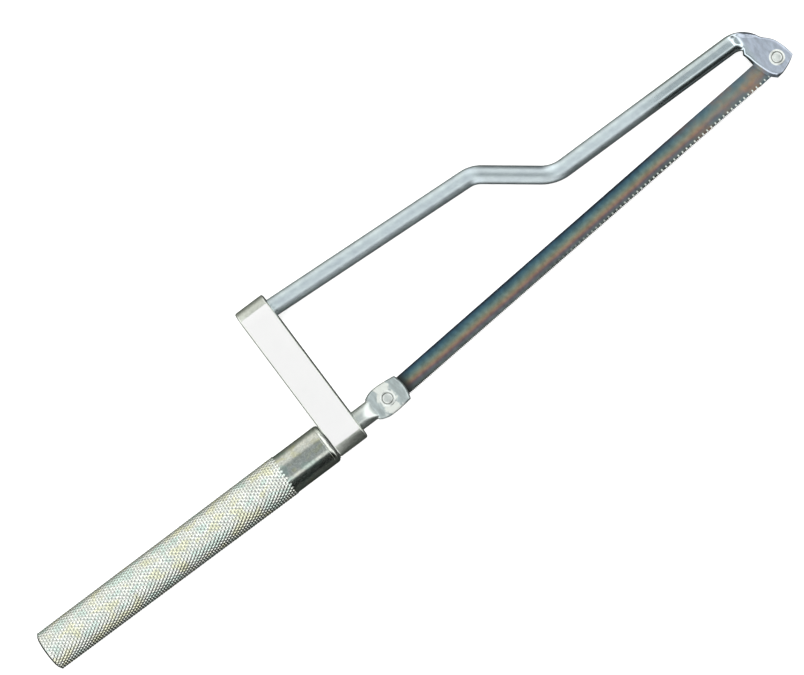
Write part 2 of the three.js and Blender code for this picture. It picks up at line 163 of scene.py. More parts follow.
def outward(piece):
    """Makes every face of a closed mesh point out."""
    work = bmesh.new()
    work.from_mesh(piece.data)
    bmesh.ops.recalc_face_normals(work, faces=work.faces)
    work.to_mesh(piece.data)
    work.free()
    return piece


def ring_faces(rings, around, closed=False):
    """Quads between rings of points. With closed, the last ring joins the first."""
    faces = []
    last = rings if closed else rings - 1
    for i in range(last):
        here, there = i * around, (i + 1) % rings * around
        for j in range(around):
            k = (j + 1) % around
            faces.append((here + j, here + k, there + k, there + j))
    return faces


def capped(points, rings, around, ends):
    """Faces of a stack of rings whose ends close on the two points given in ends."""
    faces = ring_faces(rings, around)
    points = np.vstack([points, ends])
    first, final = rings * around, rings * around + 1
    top = (rings - 1) * around
    for j in range(around):
        k = (j + 1) % around
        faces.append((first, k, j))
        faces.append((final, top + j, top + k))
    return points, faces


def turned(name, profile, axis="x", at=(0, 0), around=96, sharp=SHARP_DEGREES, closed=False):
    """A solid of revolution. profile lists (place on the axis, radius)."""
    profile = np.array(profile, float)
    angles = np.linspace(0, 2 * np.pi, around, endpoint=False)
    along = np.repeat(profile[:, 0], around)
    radius = np.repeat(profile[:, 1], around)
    turn = np.tile(angles, len(profile))
    points = np.column_stack([radius * np.cos(turn) + at[0], radius * np.sin(turn) + at[1], along])
    ends = np.array([(*at, profile[0, 0]), (*at, profile[-1, 0])])
    if axis == "x":
        points, ends = np.roll(points, 1, axis=1), np.roll(ends, 1, axis=1)
    if closed:
        return outward(add_mesh(name, points, ring_faces(len(profile), around, True), sharp))
    points, faces = capped(points, len(profile), around, ends)
    return outward(add_mesh(name, points, faces, sharp))


def arc(centre, radius, start, stop, steps):
    """Points on an arc, angles in degrees."""
    angles = np.radians(np.linspace(start, stop, steps + 1))
    return [(centre[0] + radius * math.cos(a), centre[1] + radius * math.sin(a)) for a in angles]


def bored(piece, *cutters):
    """Cuts the cutters out of piece and removes them."""
    for cutter in cutters:
        cut = piece.modifiers.new("bore", "BOOLEAN")
        cut.operation = "DIFFERENCE"
        cut.solver = "EXACT"
        cut.object = cutter
    graph = bpy.context.evaluated_depsgraph_get()
    mesh = bpy.data.meshes.new_from_object(piece.evaluated_get(graph))
    piece.modifiers.clear()
    piece.data = mesh
    mesh.shade_smooth()
    mesh.set_sharp_from_angle(angle=math.radians(SHARP_DEGREES))
    for cutter in cutters:
        bpy.data.objects.remove(cutter)
    return piece


# ---------------- smooth outlines


def spline(knots, steps=8):
    """Catmull-Rom points through the knots."""
    knots = np.array(knots, float)
    padded = np.vstack([2 * knots[0] - knots[1], knots, 2 * knots[-1] - knots[-2]])
    t = np.linspace(0, 1, steps, endpoint=False)[:, None]
    points = []
    for p0, p1, p2, p3 in zip(padded, padded[1:], padded[2:], padded[3:]):
        points.append(0.5 * (2 * p1 + (p2 - p0) * t + (2 * p0 - 5 * p1 + 4 * p2 - p3) * t ** 2
                             + (3 * p1 - p0 - 3 * p2 + p3) * t ** 3))
    points.append(knots[-1:])
    return np.vstack(points)


def outline(*runs):
    """One closed outline from splines, each through its knots, joined end to end."""
    return np.vstack([spline(run)[:-1] if len(run) > 2 else np.array(run[:1], float) for run in runs])


def squared_gap(points, a, d):
    """Squared distance of 2D points from the segment that runs from a by d."""
    rel = points - a
    share = np.clip((rel @ d) / max(d @ d, 1e-12), 0, 1)
    return ((rel - share[:, None] * d) ** 2).sum(1)


def signed_distance(points, shape):
    """Distance of 2D points from a closed outline, negative inside."""
    best = np.full(len(points), 1e9)
    inside = np.zeros(len(points), bool)
    for a, d in zip(shape, np.roll(shape, -1, axis=0) - shape):
        best = np.minimum(best, squared_gap(points, a, d))
        b = a + d
        crosses = (a[1] > points[:, 1]) != (b[1] > points[:, 1])
        if d[1]:
            at = a[0] + (points[:, 1] - a[1]) * d[0] / d[1]
            inside ^= crosses & (points[:, 0] < at)
    return np.sqrt(best) * np.where(inside, -1, 1)


def soft_max(a, b, round_by):
    """The larger of two distances, with the corner between them rounded."""
    blend = np.maximum(round_by - np.abs(a - b), 0) / round_by
    return np.maximum(a, b) + blend ** 2 * round_by / 4


def soft_min(a, b, round_by):
    """The smaller of two distances, with the corner between them rounded."""
    return -soft_max(-a, -b, round_by)


# ---------------- rods with forged paddles


class ForgedEnd:
    """A round rod whose end is pressed flat: how far any point is outside the steel.

    The press leaves half-round edges. The paddle is spread out beyond the rod and trimmed.
    Three functions of the place in plan shape it: rise is how much thicker than the flat the rod
    is on each side, edge_round the rounding of the paddle's edge, and draft how far its wall leans
    in from the bottom to the top.
    """

    def __init__(self, line, radius, paddle, rise, edge_round, draft):
        self.line = line
        self.radius = radius
        self.paddle = paddle
        self.rise = rise
        self.edge_round = edge_round
        self.draft = draft

    def __call__(self, points):
        plan, z = points[:, :2], np.abs(points[:, 2])
        reach = np.full(len(plan), 1e9)
        for a, b in zip(self.line, self.line[1:]):
            reach = np.minimum(reach, squared_gap(plan, a, b - a))
        half = np.minimum(PADDLE_HALF + self.rise(plan), self.radius)
        side = np.sqrt(reach) - self.radius + half
        pressed = np.where(side > 0, np.hypot(side, z) - half, np.maximum(z - half, side - half))
        edge = self.edge_round(plan)
        height = np.clip((points[:, 2] + PADDLE_HALF) / (1.6 * PADDLE_HALF), 0, 1)
        side = signed_distance(plan, self.paddle) + edge + self.draft(plan) * height
        top = z - PADDLE_HALF + edge
        plate = np.minimum(np.maximum(side, top), 0)
        plate = plate + np.hypot(np.maximum(side, 0), np.maximum(top, 0)) - edge
        return np.maximum(soft_min(pressed, plate, 1.0), z - half)


def ray_angles(around):
    """Directions round a section, closer together towards its thin edges."""
    turn = np.linspace(0, 2 * np.pi, around, endpoint=False)
    return turn - 0.35 * np.sin(2 * turn)


def section_rays(centre, heading, turn):
    """A section's middle in space, the way ahead there, and rays round it in its own plane."""
    start = np.array([centre[0], centre[1], 0.0])
    ahead = np.array([heading[0], heading[1], 0.0])
    across = np.array([-heading[1], heading[0], 0.0])
    up = np.array([0, 0, 1.0])
    return start, ahead, np.cos(turn)[:, None] * across + np.sin(turn)[:, None] * up


def skin_rings(centres, headings, around, reach_of):
    """Rings of points round a line in the saw's plane. reach_of gives the distance to the skin."""
    turn = ray_angles(around)
    rings = []
    for centre, heading in zip(centres, headings):
        start, _, rays = section_rays(centre, heading, turn)
        rings.append(start + rays * reach_of(start, rays, turn)[:, None])
    return rings


def to_surface(solid, nearest=0.5, farthest=22.0, halvings=17):
    """A reach function that finds the solid's skin along each ray by halving."""
    def reach(start, rays, turn):
        low = np.full(len(rays), nearest)
        high = np.full(len(rays), farthest)
        for _ in range(halvings):
            mid = (low + high) / 2
            out = solid(start + rays * mid[:, None]) > 0
            high = np.where(out, mid, high)
            low = np.where(out, low, mid)
        return (low + high) / 2
    return reach


def nose_rings(centre, heading, around, reach, steps):
    """Rings that close the end of a paddle: the rays swing forward from the last section."""
    turn = ray_angles(around)
    start, ahead, flat = section_rays(centre, heading, turn)
    rings = []
    for swing in np.linspace(0, math.pi / 2, steps + 1)[1:-1]:
        rays = math.cos(swing) * flat + math.sin(swing) * ahead
        rings.append(start + rays * reach(start, rays, turn)[:, None])
    tip = start + ahead * reach(start, ahead[None, :], turn)[0]
    return rings, tip


def bent_line(corners, radii, step):
    """Stations and headings along straight runs joined by arcs, close together on the arcs."""
    corners = [np.array(c, float) for c in corners]
    places = [corners[0]]
    headings = [(corners[1] - corners[0]) / np.linalg.norm(corners[1] - corners[0])]
    for before, at, after, radius in zip(corners, corners[1:], corners[2:], radii):
        into = (at - before) / np.linalg.norm(at - before)
        out = (after - at) / np.linalg.norm(after - at)
        side = np.sign(into[0] * out[1] - into[1] * out[0])
        turn = math.acos(np.clip(into @ out, -1, 1))
        inward = side * np.array([-into[1], into[0]])
        centre = at - into * radius * math.tan(turn / 2) + inward * radius
        steps = max(2, round(radius * turn / step))
        for i in range(steps + 1):
            angle = side * turn * i / steps
            c, s = math.cos(angle), math.sin(angle)
            spin = np.array([[c, -s], [s, c]])
            places.append(centre - spin @ inward * radius)
            headings.append(spin @ into)
    places.append(corners[-1])
    headings.append(headings[-1])
    return np.array(places), np.array(headings)


def rod_y(x):
    """The rod's first straight run drops a little from the crossbar to the rear bend."""
    return ROD_ENTRY_Y + (BAR_FRONT_X - x) * math.tan(ROD_DROP)


def build_frame_rod():
    lean = np.array([math.cos(PADDLE_LEAN), -math.sin(PADDLE_LEAN)])
    last_section = np.array(FRONT_BEND) + lean * 29.0
    corners = [(x, rod_y(x)) for x in (ROD_SOCKET_X, REAR_BEND_X)] + [MIDDLE_BEND, FRONT_BEND, last_section]
    places, headings = bent_line(corners, BEND_RADII, 0.45)

    # Straight runs get stations too, close together inside the paddle. One close to the rod's
    # start keeps the shading of its end face off its side.
    stations, turns = [places[0], places[0] + 0.5 * headings[0]], [headings[0]] * 2
    for near, far, heading in zip(places, places[1:], headings[1:]):
        spacing = 0.46 if far[0] > FORGED_FROM_X else 12
        count = max(1, math.ceil(np.linalg.norm(far - near) / spacing - 0.01))
        for i in range(1, count + 1):
            stations.append(near + (far - near) * i / count)
            turns.append(heading)
    places, headings = np.array(stations), np.array(turns)

    paddle = outline(
        [(341, 39.6), (344.6, 37.2), (348.9, 32.2), (351.4, 25.6), (352.7, 18.7)],
        [(352.7, 18.7), (349, 16.4), (343, 13.9), (337.4, 12.6)],
        [(337.4, 12.6), (333.5, 17), (330.5, 25), (329.6, 33), (328.9, 35.6)],
        [(328.9, 35.6), (330.6, 38.2)],
        [(330.6, 38.2), (334, 41.5)],
        [(334, 41.5), (341, 39.6)],
    )
    flat = np.array([(333.5, 54), (364, 54), (364, 4), (318, 4), (318, 30), (328.5, 36), (333, 41)])
    inside = np.array([(318, 52), (328.5, 50), (332.3, 46.3), (335.3, 43.2), (340.3, 39.4), (344.8, 35.1),
                       (352, 33), (364, 30), (364, 4), (318, 4)])

    def rise(plan):
        """A smooth ramp up to the rod, and a steeper one up to its outer side round the bend."""
        share = np.clip(signed_distance(plan, flat) / 6, 0, 1)
        ramp = (ROD_RADIUS - PADDLE_HALF) * share ** 2 * (3 - 2 * share)
        past = np.maximum(signed_distance(plan, inside), 0)
        steep = 5 * np.maximum(past - 1, 0) * np.clip((plan[:, 0] - 333) / 4, 0, 1)
        return ramp + 1.2 * past + steep

    def low_left(plan):
        """1 along the paddle's lower rear edge, which is rounder and leans in more."""
        return np.clip((341 - plan[:, 0]) / 3, 0, 1) * np.clip((34 - plan[:, 1]) / 9, 0, 1)

    def edge_round(plan):
        return PADDLE_EDGE_ROUND + 0.2 * low_left(plan)

    def draft(plan):
        return PADDLE_DRAFT + 1.2 * low_left(plan)

    tail = np.array(FRONT_BEND) + lean * 15.0
    coarse, _ = bent_line([MIDDLE_BEND, FRONT_BEND, tail], BEND_RADII[2:], 1.2)
    reach = to_surface(ForgedEnd(coarse, ROD_RADIUS, paddle, rise, edge_round, draft))
    around = 160

    def round_reach(start_point, rays, turn):
        return np.full(len(rays), ROD_RADIUS)

    forged = places[:, 0] > FORGED_FROM_X
    rings = skin_rings(places[~forged], headings[~forged], around, round_reach)
    rings += skin_rings(places[forged], headings[forged], around, reach)
    nose, tip = nose_rings(places[-1], headings[-1], around, reach, 34)
    rings += nose
    points, faces = capped(np.vstack(rings), len(rings), around, [(*places[0], 0), tip])
    return outward(add_mesh("frame_rod_forged", points, faces, sharp=0))


def build_tension_stud():
    paddle = outline(
        [(33.2, -6.4), (33.9, -7.6), (38.2, -9.2), (43, -9.6), (49, -9.2), (55.4, -8.4)],
        [(55.4, -8.4), (56.7, -4), (57.1, 0), (56.7, 4), (55.4, 8.4)],
        [(55.4, 8.4), (49, 9.2), (43, 9.6), (38.2, 9.2), (33.9, 7.6), (33.2, 6.4)],
        [(33.2, 6.4), (33.2, -6.4)],
    )
    flat = outline([(37.6, -12), (35.3, -6), (34.7, 0), (35.3, 6), (37.6, 12)],
                   [(37.6, 12), (64, 12)], [(64, 12), (64, -12)], [(64, -12), (37.6, -12)])
    line = np.array([(-45, 0), (44, 0)], float)

    def rise(plan):
        """The shank runs down to the flat in a hollow curve."""
        share = np.clip(signed_distance(plan, flat) / 11, 0, 1)
        return (STUD_FRONT_RADIUS - PADDLE_HALF) * (1 - (1 - share) ** 3)

    def edge_round(plan):
        return PADDLE_EDGE_ROUND + 0.5 + 0.6 * np.clip((37.5 - plan[:, 0]) / 3, 0, 1)

    def draft(plan):
        return np.full(len(plan), PADDLE_DRAFT)

    reach = to_surface(ForgedEnd(line, STUD_FRONT_RADIUS, paddle, rise, edge_round, draft))
    around = 144
    lead = 25.4 / 14
    thread_end = -1.0
    tail_x, tail_radius = -44.0, 4.4
    slot_start, slot_end = 2.0, 14.8
    slot_floor, slot_half_width = 3.3, 2.4
    last_x = 50.1

    def shank_reach(start_point, rays, turn):
        """The threaded tail, then the plain shank with its key slot on the underside."""
        x = start_point[0]
        radius = np.full(len(rays), ROD_RADIUS)
        if x < thread_end + lead:
            phase = (x / lead - turn / (2 * np.pi)) % 1
            groove = np.clip(1.15 - 2.6 * np.abs(phase - 0.5), 0, 1)
            fade = np.clip((thread_end + lead - x) / lead, 0, 1)
            radius = np.minimum(radius - groove * fade, tail_radius + (x - tail_x))
        if slot_start < x < slot_end:
            down = -np.sin(turn)
            deep = np.where(down > 0.3, slot_floor / np.maximum(down, 0.3), 99)
            in_slot = np.abs(np.cos(turn)) * deep < slot_half_width
            radius = np.where(in_slot, np.minimum(radius, deep), radius)
        return radius

    thread = np.arange(tail_x, thread_end + lead, lead / 12)
    slot_edges = [slot_start, slot_start + 0.05, slot_end - 0.05, slot_end]
    step_x = BAR_FRONT_X + 0.05
    shank = np.array(sorted([*thread, 1.2, *slot_edges, 16, step_x - 0.1, step_x]))
    blade_end = np.arange(step_x + 0.02, last_x, 0.3)
    rings = skin_rings([(x, 0) for x in shank], [(1, 0)] * len(shank), around, shank_reach)
    rings += skin_rings([(x, 0) for x in blade_end], [(1, 0)] * len(blade_end), around, reach)
    nose, tip = nose_rings((last_x, 0), (1, 0), around, reach, 30)
    rings += nose
    points, faces = capped(np.vstack(rings), len(rings), around, [(shank[0], 0, 0), tip])
    return outward(add_mesh("tension_stud_forged", points, faces, sharp=0))


# ---------------- crossbar and label


def stadium(inset, around=64):
    """The crossbar's section as (y, z), drawn in from its full size by inset."""
    radius = BAR_HALF_DEPTH - inset
    return arc((BAR_HIGH_Y, 0), radius, -90, 90, around) + arc((BAR_LOW_Y, 0), radius, 90, 270, around)


def build_crossbar():
    rounding = arc((0, 0), BAR_EDGE_ROUND, 0, 90, 6)
    stations = [(BAR_REAR_X + BAR_EDGE_ROUND - s, BAR_EDGE_ROUND - c) for c, s in reversed(rounding)]
    stations += [(BAR_FRONT_X - BAR_EDGE_ROUND + s, BAR_EDGE_ROUND - c) for c, s in rounding]
    rings = [[(x, y, z) for y, z in stadium(inset)] for x, inset in stations]
    around = len(rings[0])
    points = np.vstack(rings)
    faces = ring_faces(len(rings), around)
    faces.append(tuple(reversed(range(around))))
    top = (len(rings) - 1) * around
    faces.append(tuple(range(top, top + around)))
    bar = outward(add_mesh("crossbar_body", points, faces))

    lip = 0.35
    stud_hole = turned("stud_hole", [(BAR_REAR_X - 2, 5.8), (BAR_FRONT_X - lip, 5.8),
                                     (BAR_FRONT_X + 1, 5.8 + lip + 1)])
    rod_hole = turned("rod_hole", [(0, 5.75), (30, 5.75)])
    rod_hole.data.transform(Matrix.Translation(-Vector(ORIGIN)))
    rod_hole.data.transform(Matrix.Rotation(-ROD_DROP, 4, "Z"))
    rod_hole.data.transform(Matrix.Translation(Vector(placed((ROD_SOCKET_X - 0.3, rod_y(ROD_SOCKET_X), 0)))))
    pin_holes = []
    for node, top_z in (("frame_rod_pin", 5.5), ("stud_key_pin", -1.0)):
        profile = [(-BAR_HALF_DEPTH - 1, 3.5), (-BAR_HALF_DEPTH + 0.4, 2.1), (top_z, 2.1)]
        pin_holes.append(turned(node + "_hole", profile, "z", middle(node)[:2], 40))
    return bored(bar, stud_hole, rod_hole, *pin_holes)


def build_label():
    """One thin sheet laid over the front flat and a little way round both ends."""
    inner = BAR_HALF_DEPTH + 0.02
    outer = inner + LABEL_THICKNESS
    low_wrap, high_wrap = math.radians(19), math.radians(24)
    low_length = low_wrap * outer
    straight = BAR_HIGH_Y - BAR_LOW_Y
    length = low_length + straight + high_wrap * outer
    left = BAR_REAR_X + LABEL_MARGIN
    right = BAR_FRONT_X - LABEL_MARGIN

    def section(place, radius):
        if place < low_length:
            angle = (low_length - place) / outer
            return BAR_LOW_Y - radius * math.sin(angle), radius * math.cos(angle)
        if place < low_length + straight:
            return BAR_LOW_Y + place - low_length, radius
        angle = (place - low_length - straight) / outer
        return BAR_HIGH_Y + radius * math.sin(angle), radius * math.cos(angle)

    xs = np.unique(np.concatenate([
        left + LABEL_CORNER * (1 - np.cos(np.linspace(0, np.pi / 2, 8))),
        right - LABEL_CORNER * (1 - np.cos(np.linspace(0, np.pi / 2, 8))),
    ]))
    shares = np.concatenate([np.linspace(0, 0.06, 12), np.linspace(0.06, 0.93, 20)[1:],
                             np.linspace(0.93, 1, 12)[1:]])
    points = []
    for radius in (outer, inner):
        for x in xs:
            edge = max(0.0, LABEL_CORNER - min(x - left, right - x))
            cut = LABEL_CORNER - math.sqrt(max(LABEL_CORNER ** 2 - edge ** 2, 0))
            for share in shares:
                y, z = section(cut + share * (length - 2 * cut), radius)
                points.append((x, y, z))
    rows, columns = len(xs), len(shares)
    sheet = rows * columns
    faces = []
    for i in range(rows - 1):
        for j in range(columns - 1):
            a, b = i * columns + j, (i + 1) * columns + j
            faces.append((a, b, b + 1, a + 1))
            faces.append((sheet + a, sheet + a + 1, sheet + b + 1, sheet + b))
    rim = [i * columns for i in range(rows)] + [(rows - 1) * columns + j for j in range(1, columns)]
    rim += [i * columns + columns - 1 for i in range(rows - 2, -1, -1)] + list(range(columns - 2, 0, -1))
    for a, b in zip(rim, rim[1:] + rim[:1]):
        faces.append((a, a + sheet, b + sheet, b))
    return outward(add_mesh("label_sheet", points, faces))


# ---------------- pins, washer and bush


def build_blade_pin(name, at):
    """A staked stub pin: a dished head inside a raised ring, and the stub that holds the blade."""
    top = PADDLE_HALF
    profile = [
        (-5.7, 1.2), *arc((-5.35, 1.35), 0.35, 180, 90, 4),
        (-2.6, 1.7), (-2.4, 2.4), (top - 0.3, 4.85), (top, 4.75),
        (top + 0.2, 4.5), (top + 0.38, 4.1), (top + 0.44, 3.85), (top + 0.38, 3.6), (top + 0.08, 3.38),
        (top + 0.02, 3.25), (top + 0.02, 3.05), (top + 0.08, 2.93),
        (top + 0.32, 2.7), (top + 0.4, 2.45), (top + 0.42, 2.1), (top + 0.36, 1.4), (top + 0.33, 0.6),
    ]
    return turned(name, profile, "z", at, 72, sharp=50)


def build_spring_pin(name, node, top_z):
    """A rolled spring pin: a split ring section with chamfered ends."""
    at = middle(node)[:2]
    pin_radius, bore_radius, half_slit = 2.0, 1.5, 0.4
    slit_angle = math.asin(half_slit / pin_radius)
    steps = 40
    bottom = -BAR_HALF_DEPTH

    def ring(z, inset):
        turn = np.linspace(-math.pi + slit_angle, math.pi - slit_angle, steps + 1)
        circles = ((pin_radius - inset, turn), (bore_radius, reversed(turn)))
        return [(at[0] + radius * math.cos(angle), at[1] + radius * math.sin(angle), z)
                for radius, angles in circles for angle in angles]

    rings = [ring(bottom, 0.25), ring(bottom + 0.6, 0.0), ring(top_z - 0.6, 0.0), ring(top_z, 0.25)]
    around = len(rings[0])
    points = np.vstack(rings)
    faces = ring_faces(len(rings), around)
    for base in (0, (len(rings) - 1) * around):
        for j in range(steps):
            faces.append((base + j, base + j + 1, base + around - 2 - j, base + around - 1 - j))
    return outward(add_mesh(name, points, faces))


def build_thrust_washer():
    rear, front = 1.95, 2.45
    hole, rim, bevel = 6.0, 11.42, 0.12
    profile = [(rear, hole), (rear, rim - bevel), (rear + bevel, rim),
               (front - bevel, rim), (front, rim - bevel), (front, hole)]
    return turned("thrust_ring", profile, closed=True)


def build_grip_bush():
    """The threaded bush, whose flange caps the mouth of the handle."""
    front, back, edge, edge_run = 1.9, -0.6, 1.5, 2.3
    outer = NECK_RADIUS
    profile = [
        (-25, 5.6), (-25, 9.9), (-24.5, 10.4), (back, 10.4), (back, outer - 0.12), (back + 0.1, outer),
        *[(front - edge_run + edge_run * s, outer - edge + edge * c)
          for c, s in arc((0, 0), 1, 0, 90, 9)],
        (front, 6.9), (front - 0.8, 6.1), (-2.0, 6.1), (-2.6, 5.6),
    ]
    return turned("grip_bush", profile, closed=True, around=128)


def build_end_plug():
    rim = TUBE_BORE - 0.12
    dome = [(-202 + 0.9 * (r / rim) ** 2.4, r) for r in np.linspace(0.3, rim - 0.5, 16)]
    profile = [*dome, (-200.95, rim - 0.2), (-200.7, rim), (-190.5, rim), (-190, rim - 0.5)]
    return turned("butt_plug", profile, around=128)


# ---------------- knurled handle


def knurl_height(x, turn):
    """Height over two crossing sets of helical grooves, from 0 in a groove to 1 on a crest, and how
    far each point lies from the nearest pit, where two grooves cross.
    """
    rises = []
    for hand in (1, -1):
        phase = (x / KNURL_PITCH + hand * turn * KNURL_STARTS / (2 * np.pi)) % 1
        rises.append(2 * np.abs(phase - 0.5))
    return np.minimum(*rises), np.maximum(*rises)


def build_knurled_grip():
    around = KNURL_STARTS * KNURL_FACETS
    turn = np.linspace(0, 2 * np.pi, around, endpoint=False)
    step = KNURL_PITCH / KNURL_FACETS
    knurl_rear_x = TUBE_REAR_X + BUTT_RUN
    edge = 0.1
    stations = [(TUBE_FRONT_X, NECK_RADIUS - edge, 0), (TUBE_FRONT_X - edge, NECK_RADIUS, 0),
                (TUBE_FRONT_X - 2 * edge, NECK_RADIUS, 0)]
    stations += [(x, NECK_RADIUS, 0) for x in np.linspace(TUBE_FRONT_X - 2, KNURL_FRONT_X + 1.6, 16)]
    first = math.floor(KNURL_FRONT_X / step) * step
    for x in np.arange(first + 1.2, knurl_rear_x, -step):
        share = (KNURL_FRONT_X - x) / (KNURL_FRONT_X - knurl_rear_x)
        crest = KNURL_FRONT_RADIUS + (KNURL_REAR_RADIUS - KNURL_FRONT_RADIUS) * share
        rise = np.clip((KNURL_FRONT_X + 1.2 - x) / 1.0, 0, 1)
        fade = np.clip((x - knurl_rear_x + 0.5) / 0.4, 0, 1)
        radius = NECK_RADIUS - 0.05 + (crest - NECK_RADIUS + 0.05) * rise
        stations.append((x, radius, min(rise, fade)))
    stations += [(knurl_rear_x - BUTT_RUN * share, KNURL_REAR_RADIUS - BUTT_DROP * share, 0)
                 for share in (0, 0.08, 0.92, 1)]
    stations += [(TUBE_REAR_X, TUBE_BORE, 0), (TUBE_REAR_X + 0.1, TUBE_BORE, 0),
                 (TUBE_FRONT_X - 0.3, TUBE_BORE, 0), (TUBE_FRONT_X, TUBE_BORE + 0.3, 0)]

    rings, pit_shades = [], []
    for x, radius, share in stations:
        height, from_pit = knurl_height(x, turn)
        r = radius - KNURL_DEPTH * share * (1 - height)
        rings.append(np.column_stack([np.full(around, x), r * np.cos(turn), r * np.sin(turn)]))
        # The pit mask, which sets where painted shade darkens the knurl's pits.
        pit_shades.append(share * np.clip(1 - from_pit / 0.55, 0, 1))
    grip = add_mesh("knurled_grip", np.vstack(rings), ring_faces(len(rings), around, True), sharp=0)
    grip.data.attributes.new("pit", "FLOAT", "POINT").data.foreach_set("value", np.concatenate(pit_shades))
    return outward(grip)


# ---------------- blade


def build_blade():
    """A thin strip with two holes, fine teeth on its lower edge and a wavy saw set."""
    span = math.hypot(FRONT_PIN[0] - REAR_PIN[0], FRONT_PIN[1] - REAR_PIN[1]) - 2 * PIN_LEAN
    root = BLADE_TIPS + TOOTH_DEPTH
    centre = BLADE_BACK - BLADE_END_RADIUS
    border = arc((0, centre), BLADE_END_RADIUS, 90, 270, 24)
    border.append((TOOTH_START, root))
    teeth = int((TOOTH_END - TOOTH_START) / TOOTH_PITCH)
    for i in range(teeth):
        start = TOOTH_START + i * TOOTH_PITCH
        border.append((start + 0.34 * TOOTH_PITCH, root + 0.02))
        border.append((start + 0.93 * TOOTH_PITCH, BLADE_TIPS))
        border.append((start + TOOTH_PITCH, root))
    border.append((TOOTH_END + 2, BLADE_TIPS + 0.2))
    border += arc((span, centre), BLADE_END_RADIUS, -90, 90, 24)
    holes = [arc((u, 0), BLADE_HOLE_RADIUS, 360, 0, 40)[:-1] for u in (0, span)]

    points = list(border)
    edges = [(i, (i + 1) % len(border)) for i in range(len(border))]
    for hole in holes:
        base = len(points)
        points += hole
        edges += [(base + i, base + (i + 1) % len(hole)) for i in range(len(hole))]
    set_top = root + 1.6
    band = [(u, v) for v in (set_top, root + 1.0, root + 0.45)
            for u in np.arange(TOOTH_START + 0.5, TOOTH_END, TOOTH_PITCH / 2)]
    points += band
    flat, _, triangles, *_ = delaunay_2d_cdt([Vector(p) for p in points], edges, [], 0, 1e-5)
    flat = np.array([tuple(p) for p in flat])
    kept = []
    shape = np.array(border)
    middles = np.array([flat[list(t)].mean(0) for t in triangles])
    outside = signed_distance(middles, shape)
    for t, m, far in zip(triangles, middles, outside):
        in_hole = min(math.hypot(m[0], m[1]), math.hypot(m[0] - span, m[1])) < BLADE_HOLE_RADIUS - 0.01
        if far < 0 and not in_hole:
            kept.append(tuple(t))

    # The set grows from nothing above the teeth, and dies away at both ends of the toothed edge.
    u, v = flat[:, 0], flat[:, 1]
    grow = np.clip((set_top - v) / 2.3, 0, 1)
    ends = np.clip((u - TOOTH_START) / 4, 0, 1) * np.clip((TOOTH_END - u) / 4, 0, 1)
    sway = SET_AMOUNT * np.sin(2 * np.pi * u / SET_WAVE) * grow * ends
    half = BLADE_THICKNESS / 2
    mid_z = BLADE_FACE_Z - half
    c, s = math.cos(BLADE_SLOPE), math.sin(BLADE_SLOPE)
    start = np.array(REAR_PIN) + PIN_LEAN * np.array([c, s])
    x = start[0] + u * c - v * s
    y = start[1] + u * s + v * c
    count = len(flat)
    upper = np.column_stack([x, y, mid_z + half + sway])
    lower = np.column_stack([x, y, mid_z - half + sway])
    faces = kept + [tuple(reversed([i + count for i in t])) for t in kept]
    sides = {}
    for t in kept:
        for a, b in zip(t, t[1:] + t[:1]):
            sides[(a, b)] = sides.get((a, b), 0) + 1
    for a, b in sides:
        if (b, a) not in sides:
            faces.append((b, a, a + count, b + count))
    return outward(add_mesh("saw_blade", np.vstack([upper, lower]), faces, sharp=28))


# ---------------- finishes


class Graph:
    """A shader node tree, with a short way to add each kind of node."""

    def __init__(self, tree):
        self.nodes = tree.nodes
        self.links = tree.links

    def add(self, kind, **values):
        node = self.nodes.new(kind)
        for key, value in values.items():
            setattr(node, key, value)
        return node

    def feed(self, sockets, values):
        """Sets each socket to its number or colour, or links it to its output."""
        for socket, value in zip(sockets, values):
            if isinstance(value, bpy.types.NodeSocket):
                self.links.new(value, socket)
            elif isinstance(value, tuple):
                socket.default_value = (*value, 1)
            else:
                socket.default_value = value

    def split(self, vector):
        node = self.add("ShaderNodeSeparateXYZ")
        self.feed(node.inputs, [vector])
        return node.outputs

    def math(self, operation, *values):
        node = self.add("ShaderNodeMath", operation=operation)
        self.feed(node.inputs, values)
        return node.outputs[0]

    def between(self, value, start, stop):
        """0 at start, 1 at stop, smooth in between."""
        node = self.add("ShaderNodeMapRange", interpolation_type="SMOOTHSTEP")
        self.feed(node.inputs, (value, start, stop))
        return node.outputs["Result"]

    def mix(self, share, a, b, blend="MIX"):
        node = self.add("ShaderNodeMix", data_type="RGBA", blend_type=blend)
        self.feed([node.inputs[name] for name in ("Factor", "A", "B")], (share, a, b))
        return node.outputs["Result"]

    def ramp(self, value, stops):
        node = self.add("ShaderNodeValToRGB")
        elements = node.color_ramp.elements
        while len(elements) < len(stops):
            elements.new(0.5)
        for element, (place, colour) in zip(elements, stops):
            element.position = place
            shade = colour if isinstance(colour, tuple) else (colour,) * 3
            element.color = (*shade, 1)
        self.feed([node.inputs["Fac"]], [value])
        return node.outputs["Color"]


